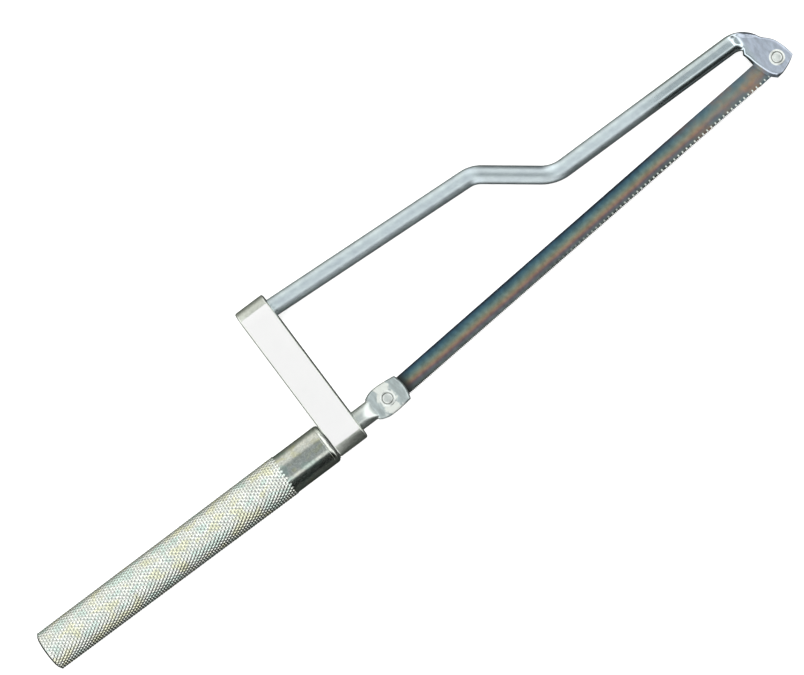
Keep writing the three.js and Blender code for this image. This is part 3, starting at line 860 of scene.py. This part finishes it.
class Finish(Graph):
    """A material made from nodes round one Principled shader."""

    def __init__(self, name, colour, metallic, roughness):
        self.material = bpy.data.materials.new(name)
        self.material.use_nodes = True
        super().__init__(self.material.node_tree)
        self.shader = self.nodes["Principled BSDF"]
        self.set("Base Color", colour)
        self.set("Metallic", metallic)
        self.set("Roughness", roughness)
        self.place = self.add("ShaderNodeTexCoord").outputs["Object"]

    def set(self, socket, value):
        self.feed([self.shader.inputs[socket]], [value])

    def colour(self, output):
        self.set("Base Color", output)

    def rough(self, output):
        self.set("Roughness", output)

    def so_far(self, socket):
        """The output that feeds a socket of the shader now."""
        return self.shader.inputs[socket].links[0].from_socket

    def along(self):
        return self.split(self.place)["X"]

    def past(self, from_x, to_x):
        """0 before from_x and 1 after to_x, along the saw."""
        return self.between(self.along(), row_x(from_x), row_x(to_x))

    def noise(self, scale, stretch=(1, 1, 1), detail=3.0, roughness=0.55):
        """Noise in metres, drawn out along the axes whose stretch is small."""
        mapping = self.add("ShaderNodeMapping")
        mapping.inputs["Scale"].default_value = stretch
        self.feed([mapping.inputs["Vector"]], [self.place])
        node = self.add("ShaderNodeTexNoise")
        sockets = [node.inputs[name] for name in ("Vector", "Scale", "Detail", "Roughness")]
        self.feed(sockets, (mapping.outputs["Vector"], scale, detail, roughness))
        return node.outputs["Fac"]

    def bump(self, height, distance, strength=1.0):
        """Adds a bump on top of any that is there already."""
        node = self.add("ShaderNodeBump")
        sockets = [node.inputs[name] for name in ("Height", "Distance", "Strength")]
        self.feed(sockets, (height, distance, strength))
        if self.shader.inputs["Normal"].links:
            self.feed([node.inputs["Normal"]], [self.so_far("Normal")])
        self.set("Normal", node.outputs["Normal"])


def row_x(x):
    """Row-frame x of a place along the saw."""
    return placed((x, 0, 0))[0]


def shades(colour, dark, light):
    return tuple(c * dark for c in colour), tuple(min(1, c * light) for c in colour)


def plated_finish(name, colour, roughness, speckle=0.0, draw=0.0):
    """Zinc or bright plate on steel. speckle roughens what it reflects, draw adds drawing lines."""
    finish = Finish(name, colour, 1.0, roughness)
    dark, light = shades(colour, 0.9, 1.05)
    tone = finish.ramp(finish.noise(160, detail=4), [(0.35, dark), (0.65, light)])
    if speckle:
        dots = finish.noise(650, detail=4, roughness=0.7)
        low = 1 - 0.4 * speckle
        tone = finish.mix(1.0, tone, finish.ramp(dots, [(0.4, low), (0.58, 1.0)]), "MULTIPLY")
    finish.colour(tone)
    grain = finish.noise(800, detail=3)
    finish.rough(finish.ramp(grain, [(0.3, roughness * 0.85), (0.7, roughness * 1.15)]))
    if draw:
        finish.bump(finish.noise(1100, (0.03, 1, 1), detail=2), 0.00001, draw)
    if speckle:
        finish.bump(finish.noise(900, detail=2.5, roughness=0.6), 0.00003, speckle)
    return finish


def pressed_part(finish, from_x, to_x, colour):
    """Beyond from_x the plate is matt: mottled, and streaked across the saw."""
    share = finish.past(from_x, to_x)
    dark, light = shades(colour, 0.8, 1.12)
    grain = finish.noise(420, (1, 0.35, 1), detail=5, roughness=0.65)
    mottle = finish.ramp(grain, [(0.35, dark), (0.65, light)])
    finish.colour(finish.mix(share, finish.so_far("Base Color"), mottle))
    finish.rough(finish.math("MULTIPLY_ADD", share, 0.14, finish.so_far("Roughness")))


def shaded_between(finish, from_x, to_x, share):
    """Painted shade: the plate's colour is darkened along one stretch, the slanted run of the S-bend."""
    fade = 4
    stretch = finish.math("MULTIPLY", finish.past(from_x - fade, from_x + fade),
                          finish.past(to_x + fade, to_x - fade))
    painted_shade = finish.math("MULTIPLY", stretch, share)
    # Painted shade mixed into the colour over that stretch.
    finish.colour(finish.mix(painted_shade, finish.so_far("Base Color"), (0.2, 0.22, 0.23)))


def drawn_bright(finish, from_x, to_x, roughness):
    """The rod is shinier towards the nose."""
    node = finish.add("ShaderNodeMix", data_type="FLOAT")
    sockets = [node.inputs[name] for name in ("Factor", "A", "B")]
    finish.feed(sockets, (finish.past(from_x, to_x), finish.so_far("Roughness"), roughness))
    finish.rough(node.outputs["Result"])


def burnished_round(finish, x, reach):
    """A brighter, finely roughened band across the paddle at its pin."""
    away = finish.math("ABSOLUTE", finish.math("SUBTRACT", finish.along(), row_x(x)))
    ragged = finish.math("MULTIPLY_ADD", finish.noise(260, detail=5), 0.014, -0.007)
    away = finish.math("ADD", away, ragged)
    share = finish.between(away, (reach + 0.9) * MM, (reach - 0.9) * MM)
    rubbed = finish.math("MULTIPLY", share, 0.8)
    finish.colour(finish.mix(rubbed, finish.so_far("Base Color"), (0.97, 0.975, 0.95)))
    finish.rough(finish.math("MULTIPLY_ADD", share, 0.12, finish.so_far("Roughness")))


def rod_finish():
    """Drawn zinc plate: painted shade along the S-bend, shinier towards the nose, matt on the paddle."""
    finish = plated_finish("zinc_plate", (0.80, 0.89, 0.98), 0.38, draw=0.9)
    shaded_between(finish, 163, 198, 0.45)
    drawn_bright(finish, 250, 290, 0.21)
    pressed_part(finish, 330, 335, (0.61, 0.665, 0.80))
    return finish


def stud_finish():
    """Plate that is matt on the paddle, but rubbed bright across its pin."""
    finish = plated_finish("forged_plate", (0.86, 0.90, 0.90), 0.34, draw=0.3)
    pressed_part(finish, 33, 35, (0.56, 0.62, 0.64))
    burnished_round(finish, 44.6, 4.6)
    return finish


def staked_finish(name, at):
    """Plate that is dark in the groove inside the ring of the pin's head."""
    finish = plated_finish(name, (0.93, 0.95, 0.95), 0.4, speckle=0.3)
    axes, centre = finish.split(finish.place), placed((*at, 0))
    squares = []
    for axis, middle_of in zip("XY", centre):
        away = finish.math("SUBTRACT", axes[axis], middle_of)
        squares.append(finish.math("MULTIPLY", away, away))
    radius = finish.math("SQRT", finish.math("ADD", *squares))
    groove = finish.math("MULTIPLY", finish.between(radius, 2.75 * MM, 3.05 * MM),
                         finish.between(radius, 3.65 * MM, 3.35 * MM))
    shadow = finish.math("MULTIPLY", groove, 0.85)
    finish.colour(finish.mix(shadow, finish.so_far("Base Color"), (0.14, 0.15, 0.14)))
    return finish


def knurled_finish():
    """Bright plate, with painted shade: dark grey in the pits of the knurl."""
    finish = plated_finish("knurled_plate", (0.95, 0.965, 0.93), 0.17, speckle=0.45)
    patches = finish.ramp(finish.noise(120, (0.7, 1, 1), detail=2), [
        (0.38, (0.86, 0.97, 0.96)),
        (0.47, (1, 1, 1)),
        (0.53, (1, 1, 1)),
        (0.62, (0.99, 0.97, 0.80)),
    ])
    base = finish.mix(1.0, finish.so_far("Base Color"), patches, "MULTIPLY")
    # Painted shade: the pits of the knurl are mixed towards dark grey.
    pit = finish.add("ShaderNodeAttribute", attribute_name="pit").outputs["Fac"]
    finish.colour(finish.mix(finish.between(pit, 0.45, 0.95), base, (0.16, 0.18, 0.16)))
    return finish


def blade_finish():
    """Tempered steel: blue along the back, through teal and straw to brown and mauve by the teeth."""
    finish = Finish("tempered_blade", (0.2, 0.25, 0.28), 0.7, 0.42)
    turn = finish.add("ShaderNodeMapping", vector_type="TEXTURE")
    turn.inputs["Location"].default_value = tuple(placed((*REAR_PIN, 0)))
    turn.inputs["Rotation"].default_value = (0, 0, BLADE_SLOPE)
    finish.feed([turn.inputs["Vector"]], [finish.place])
    along, across, _ = finish.split(turn.outputs["Vector"])

    # 0 at the tips of the teeth and 1 at the back edge, wandering a little along the blade.
    wander = finish.noise(22, detail=3)
    streak = finish.noise(70, (0.12, 1, 1), detail=4)
    width = (BLADE_BACK - BLADE_TIPS) * MM
    height = finish.math("MULTIPLY_ADD", across, 1 / width, -BLADE_TIPS * MM / width)
    height = finish.math("ADD", height, finish.math("MULTIPLY_ADD", wander, 0.16, -0.08))
    height = finish.math("ADD", height, finish.math("MULTIPLY_ADD", streak, 0.14, -0.07))
    tempers = finish.ramp(height, [
        (0.03, (0.012, 0.015, 0.013)),
        (0.08, (0.03, 0.035, 0.03)),
        (0.13, (0.12, 0.15, 0.145)),
        (0.22, (0.15, 0.17, 0.19)),
        (0.29, (0.19, 0.155, 0.18)),
        (0.37, (0.36, 0.22, 0.18)),
        (0.45, (0.38, 0.30, 0.20)),
        (0.54, (0.30, 0.32, 0.24)),
        (0.64, (0.19, 0.29, 0.27)),
        (0.76, (0.10, 0.20, 0.24)),
        (0.88, (0.05, 0.12, 0.18)),
        (0.97, (0.02, 0.035, 0.05)),
    ])
    blotch = finish.ramp(finish.noise(300, detail=5), [(0.35, 0.6), (0.7, 0.92)])
    colour = finish.mix(1.0, tempers, blotch, "MULTIPLY")

    # Greyer near the nose, with orange and blue patches, and a painted shadow next to the rear paddle.
    nose = finish.between(along, 0.19, 0.285)
    patches = finish.ramp(finish.noise(95, (0.7, 1, 1), detail=3), [
        (0.36, (0.16, 0.24, 0.28)),
        (0.5, (0.24, 0.26, 0.26)),
        (0.62, (0.40, 0.26, 0.18)),
    ])
    colour = finish.mix(finish.math("MULTIPLY", nose, 0.5), colour, patches)
    # Painted shadow of the rear paddle: near black close to the rear pin.
    colour = finish.mix(finish.between(along, 0.02, 0.012), colour, (0.03, 0.035, 0.035))

    # Painted glints: bright spots on both sides just above the teeth where the crests of the set catch the
    # light, most of all near the nose.
    wave = finish.math("SINE", finish.math("MULTIPLY", along, 4 * math.pi / (SET_WAVE * MM)))
    crest = finish.between(finish.math("ADD", wave, finish.math("MULTIPLY", streak, 0.8)), 0.9, 1.3)
    band = finish.math("MULTIPLY",
                       finish.between(across, (BLADE_TIPS + 2.3) * MM, (BLADE_TIPS + 1.7) * MM),
                       finish.between(across, (BLADE_TIPS + 0.7) * MM, (BLADE_TIPS + 1.1) * MM))
    painted_glints = finish.math("MULTIPLY", finish.math("MULTIPLY", crest, band), finish.between(along, 0.1, 0.24))
    # Painted highlights mixed into the blade's colour.
    colour = finish.mix(painted_glints, colour, (0.85, 0.9, 0.86))

    # A small rust spot.
    spot = finish.add("ShaderNodeVectorMath", operation="DISTANCE")
    finish.feed([spot.inputs[0]], [turn.outputs["Vector"]])
    spot.inputs[1].default_value = (126.5 * MM, 1.2 * MM, 0)
    away = finish.math("ADD", spot.outputs["Value"], finish.math("MULTIPLY", wander, 1.0 * MM))
    rust = finish.between(away, 1.9 * MM, 0.8 * MM)
    finish.colour(finish.mix(rust, colour, (0.055, 0.04, 0.03)))
    finish.rough(finish.ramp(finish.noise(500, (0.3, 1, 1)), [(0.3, 0.36), (0.7, 0.5)]))
    finish.bump(finish.noise(1500, (0.05, 1, 1), detail=2), 0.00001, 0.4)
    return finish


def label_finish():
    """Blank white vinyl, very slightly uneven."""
    finish = Finish("white_vinyl", (0.8, 0.8, 0.8), 0.0, 0.5)
    finish.colour(finish.ramp(finish.noise(60, detail=3), [(0.3, 0.79), (0.7, 0.81)]))
    finish.bump(finish.noise(700, detail=2), 0.00002, 0.15)
    return finish


FINISHES = {
    "rod": rod_finish(),
    "stud": stud_finish(),
    "front_pin": staked_finish("staked_plate_front", FRONT_PIN),
    "rear_pin": staked_finish("staked_plate_rear", REAR_PIN),
    "bar": plated_finish("barrel_plate", (0.82, 0.84, 0.80), 0.34, speckle=0.3),
    "knurl": knurled_finish(),
    "bush": plated_finish("bright_plate", (0.88, 0.895, 0.86), 0.17, speckle=0.5),
    "plain": plated_finish("plain_steel", (0.35, 0.36, 0.36), 0.4, speckle=0.2),
    "blade": blade_finish(),
    "label": label_finish(),
}


def finished(piece, finish, slot, body, *nodes):
    """Gives a piece its finish and body, and puts it in place of CAD nodes."""
    piece.data.materials.clear()
    piece.data.materials.append(FINISHES[finish].material)
    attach(piece, body)
    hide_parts(*nodes)


# ---------------- the saw

finished(build_crossbar(), "bar", "zinc_plate", "frame", "crossbar")
finished(build_label(), "label", "white_vinyl", "frame", "crossbar_label")
finished(build_frame_rod(), "rod", "zinc_plate", "frame", "frame_rod")
finished(build_blade_pin("front_stub_pin", FRONT_PIN),
         "front_pin", "forged_plate", "frame", "front_blade_pin")
finished(build_spring_pin("rod_spring_pin", "frame_rod_pin", 4.5),
         "plain", "plain_steel", "frame", "frame_rod_pin")
finished(build_spring_pin("key_spring_pin", "stud_key_pin", -3.8),
         "plain", "plain_steel", "frame", "stud_key_pin")
finished(build_tension_stud(), "stud", "forged_plate", "stud", "tension_stud")
finished(build_blade_pin("rear_stub_pin", REAR_PIN),
         "rear_pin", "forged_plate", "stud", "rear_blade_pin")
finished(build_blade(), "blade", "tempered_blade", "blade", "blade")
finished(build_thrust_washer(), "plain", "plain_steel", "washer", "thrust_washer")
finished(build_grip_bush(), "bush", "bright_plate", "grip", "grip_nut")
finished(build_knurled_grip(), "knurl", "knurled_plate", "grip", "grip_tube")
finished(build_end_plug(), "bush", "bright_plate", "grip", "grip_end_plug")

stop_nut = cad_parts["stud_stop_nut"]
stop_nut.data.materials.clear()
stop_nut.data.materials.append(FINISHES["plain"].material)

# ---------------- floor, light and camera


def build_floor():
    side = 12.0
    corners = [(-side, -side, 0), (side, -side, 0), (side, side, 0), (-side, side, 0)]
    mesh = bpy.data.meshes.new("floor")
    mesh.from_pydata(corners, [], [(0, 1, 2, 3)])
    floor = bpy.data.objects.new("floor", mesh)
    bpy.context.scene.collection.objects.link(floor)
    finish = Finish("floor", (0.9, 0.9, 0.9), 0.0, 0.9)
    finish.set("Emission Color", (1, 1, 1))
    finish.set("Emission Strength", 0.6)
    mesh.materials.append(finish.material)
    floor.visible_glossy = False


def build_world():
    """A studio seen only in reflections, with bands of light and shade that run along the saw."""
    world = bpy.data.worlds.new("studio")
    bpy.context.scene.world = world
    world.use_nodes = True
    graph = Graph(world.node_tree)
    x, y, z = graph.split(graph.add("ShaderNodeTexCoord").outputs["Generated"])

    # Degrees from straight up, positive towards the frame rod and negative towards the teeth.
    bands = [
        (-180, (0.03, 0.034, 0.03)),
        (-142, (0.035, 0.041, 0.036)),
        (-102, (0.055, 0.062, 0.054)),
        (-90, (0.016, 0.02, 0.017)),
        (-82, (0.003, 0.005, 0.004)),
        (-56, (0.008, 0.012, 0.010)),
        (-45, (0.06, 0.07, 0.065)),
        (-38, (0.80, 0.83, 0.78)),
        (-29, (0.80, 0.83, 0.78)),
        (-21, (0.29, 0.315, 0.30)),
        (0, (0.26, 0.30, 0.30)),
        (40, (0.27, 0.30, 0.29)),
        (52, (0.62, 0.64, 0.59)),
        (92, (0.72, 0.73, 0.66)),
        (106, (0.38, 0.40, 0.35)),
        (125, (0.17, 0.185, 0.155)),
        (150, (0.085, 0.095, 0.08)),
        (180, (0.04, 0.045, 0.04)),
    ]
    turn = graph.math("DIVIDE", graph.math("ARCTAN2", y, z), 2 * math.pi)
    turn = graph.math("ADD", turn, 0.5)
    studio = graph.ramp(turn, [(0.5 + degrees / 360, colour) for degrees, colour in bands])

    # White panels stand past both ends of the saw. The nose's one stops short on the teeth's side.
    reach = graph.math("ABSOLUTE", x)
    panel = graph.math("MULTIPLY", graph.between(reach, 0.14, 0.3), graph.between(reach, 0.97, 0.88))
    panel = graph.math("MULTIPLY", panel, graph.between(z, -0.5, -0.05))
    wide = graph.math("MAXIMUM", graph.between(x, 0.1, -0.1), graph.between(y, -0.85, -0.6))
    studio = graph.mix(graph.math("MULTIPLY", panel, wide), studio, (1.3, 1.33, 1.28))

    # A dark corner lies low beyond the nose, on the rod's side.
    corner = graph.math("MULTIPLY", graph.between(x, 0.5, 0.62), graph.between(y, 0.25, 0.35))
    corner = graph.math("MULTIPLY", corner, graph.between(z, 0.4, 0.1))
    studio = graph.mix(corner, studio, (0.04, 0.045, 0.05))

    # The camera and matt surfaces see plain grey instead.
    path = graph.add("ShaderNodeLightPath").outputs
    plain = graph.math("MAXIMUM", path["Is Camera Ray"], path["Is Diffuse Ray"])
    background = graph.nodes["Background"].inputs["Color"]
    graph.feed([background], [graph.mix(plain, studio, (0.6, 0.6, 0.6))])


def build_light(name, where, size, power):
    data = bpy.data.lights.new(name, "AREA")
    data.shape = "DISK"
    data.size = size
    data.energy = power
    lamp = bpy.data.objects.new(name, data)
    lamp.location = where
    lamp.rotation_euler = (-Vector(where)).to_track_quat("-Z", "Y").to_euler()
    lamp.visible_glossy = False
    bpy.context.scene.collection.objects.link(lamp)


def build_camera():
    """Looks straight down on the saw, with the nose turned up to the right."""
    data = bpy.data.cameras.new("camera")
    camera = bpy.data.objects.new("camera", data)
    bpy.context.scene.collection.objects.link(camera)
    bpy.context.scene.camera = camera
    right = Vector((0.8003, -0.5996, 0))
    up = Vector((0.5996, 0.8003, 0))
    camera.location = Vector(placed(VIEW_CENTRE)) + Vector((0, 0, VIEW_HEIGHT * MM))
    camera.rotation_euler = Matrix((right, up, right.cross(up))).transposed().to_euler()
    data.sensor_width = 36
    data.lens = data.sensor_width * VIEW_HEIGHT / VIEW_WIDTH
    data.clip_end = 100


build_floor()
build_world()
build_light("overhead", (0.3, 0.9, 2.2), 1.6, 26)
build_light("fill", (-1.4, -1.2, 1.8), 1.4, 9)
build_camera()
bpy.context.scene.view_settings.view_transform = "Standard"
